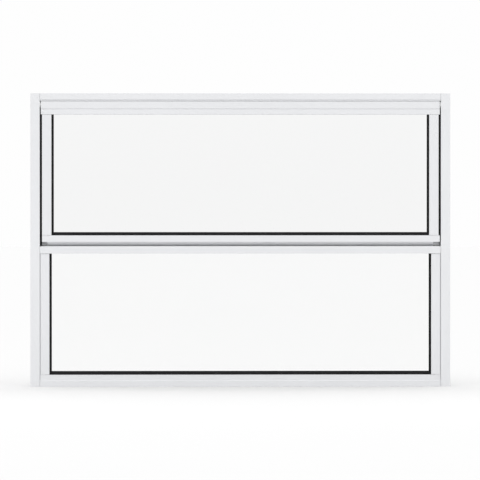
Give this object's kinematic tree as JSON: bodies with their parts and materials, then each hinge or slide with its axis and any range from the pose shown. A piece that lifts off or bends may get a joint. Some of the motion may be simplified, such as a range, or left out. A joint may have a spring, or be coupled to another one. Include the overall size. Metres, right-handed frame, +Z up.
{
  "type": "awning window",
  "caption": "White aluminium awning window with a top-hung opening sash above a fixed light, black glazing rubber and clear glass.",
  "frame": {"origin": "bottom centre of the frame, on the underside of the sill at the middle of the frame's depth", "axes": "+X to the right seen from outside, +Y into the room, +Z up"},
  "size_m": [0.6, 0.05, 0.419],
  "materials": {
    "white_paint": "satin",
    "clear_glass": "gloss",
    "black_rubber": "matte",
    "stainless": "satin",
    "white_nylon": "matte"
  },
  "bodies": {
    "frame": {"jamb_left": "white_paint", "jamb_right": "white_paint", "head": "white_paint", "transom": "white_paint", "sill": "white_paint", "glazing_channel_left": "white_paint", "glazing_channel_right": "white_paint", "frame_screws": "stainless", "fixed_glass": "clear_glass", "fixed_rubber_left": "black_rubber", "fixed_rubber_right": "black_rubber", "fixed_rubber_bottom": "black_rubber", "fixed_rubber_top": "black_rubber", "fixed_setting_blocks": "white_nylon", "stop_seal_left": "black_rubber", "stop_seal_right": "black_rubber", "stop_seal_top": "black_rubber", "stop_seal_bottom": "black_rubber", "hinge_bush_left": "white_nylon", "hinge_bush_right": "white_nylon", "keeper": "white_paint", "keeper_screws": "stainless"},
    "sash": {"sash_top_rail": "white_paint", "sash_bottom_rail": "white_paint", "sash_stile_left": "white_paint", "sash_stile_right": "white_paint", "sash_glass": "clear_glass", "sash_rubber_left": "black_rubber", "sash_rubber_right": "black_rubber", "sash_rubber_bottom": "black_rubber", "sash_rubber_top": "black_rubber", "sash_setting_blocks": "white_nylon", "sash_corner_screws": "stainless", "edge_seal_left": "black_rubber", "edge_seal_right": "black_rubber", "hinge_pin_left": "stainless", "hinge_pin_right": "stainless", "stay_rivet_left": "stainless", "stay_rivet_right": "stainless", "latch_base": "white_paint", "latch_screws": "stainless", "latch_pin": "stainless"},
    "stay_left": {"stay_arm_left": "stainless", "stay_washer_left": "white_nylon", "stay_slide_pin_left": "white_nylon"},
    "stay_right": {"stay_arm_right": "stainless", "stay_washer_right": "white_nylon", "stay_slide_pin_right": "white_nylon"},
    "latch": {"latch_lever": "white_paint"}
  },
  "joints": [
    {"name": "sash_hinge", "type": "hinge", "parent": "frame", "child": "sash", "pos_m": [0, -0.019, 0.4029], "axis": [-1, 0, 0], "range_deg": [0, 60]},
    {"name": "stay_left_pivot", "type": "hinge", "parent": "sash", "child": "stay_left", "pos_m": [-0.2848, -0.019, 0.3329], "axis": [1, 0, 0], "range_deg": [0, 120]},
    {"name": "stay_right_pivot", "type": "hinge", "parent": "sash", "child": "stay_right", "pos_m": [0.2848, -0.019, 0.3329], "axis": [1, 0, 0], "range_deg": [0, 120]},
    {"name": "latch_turn", "type": "hinge", "parent": "sash", "child": "latch", "pos_m": [0, 0.01, 0.212], "axis": [0, -1, 0], "range_deg": [0, 90]}
  ],
  "couplings": [
    {"joint": "stay_left_pivot", "follows": "sash_hinge", "ratio": 2},
    {"joint": "stay_right_pivot", "follows": "sash_hinge", "ratio": 2}
  ]
}
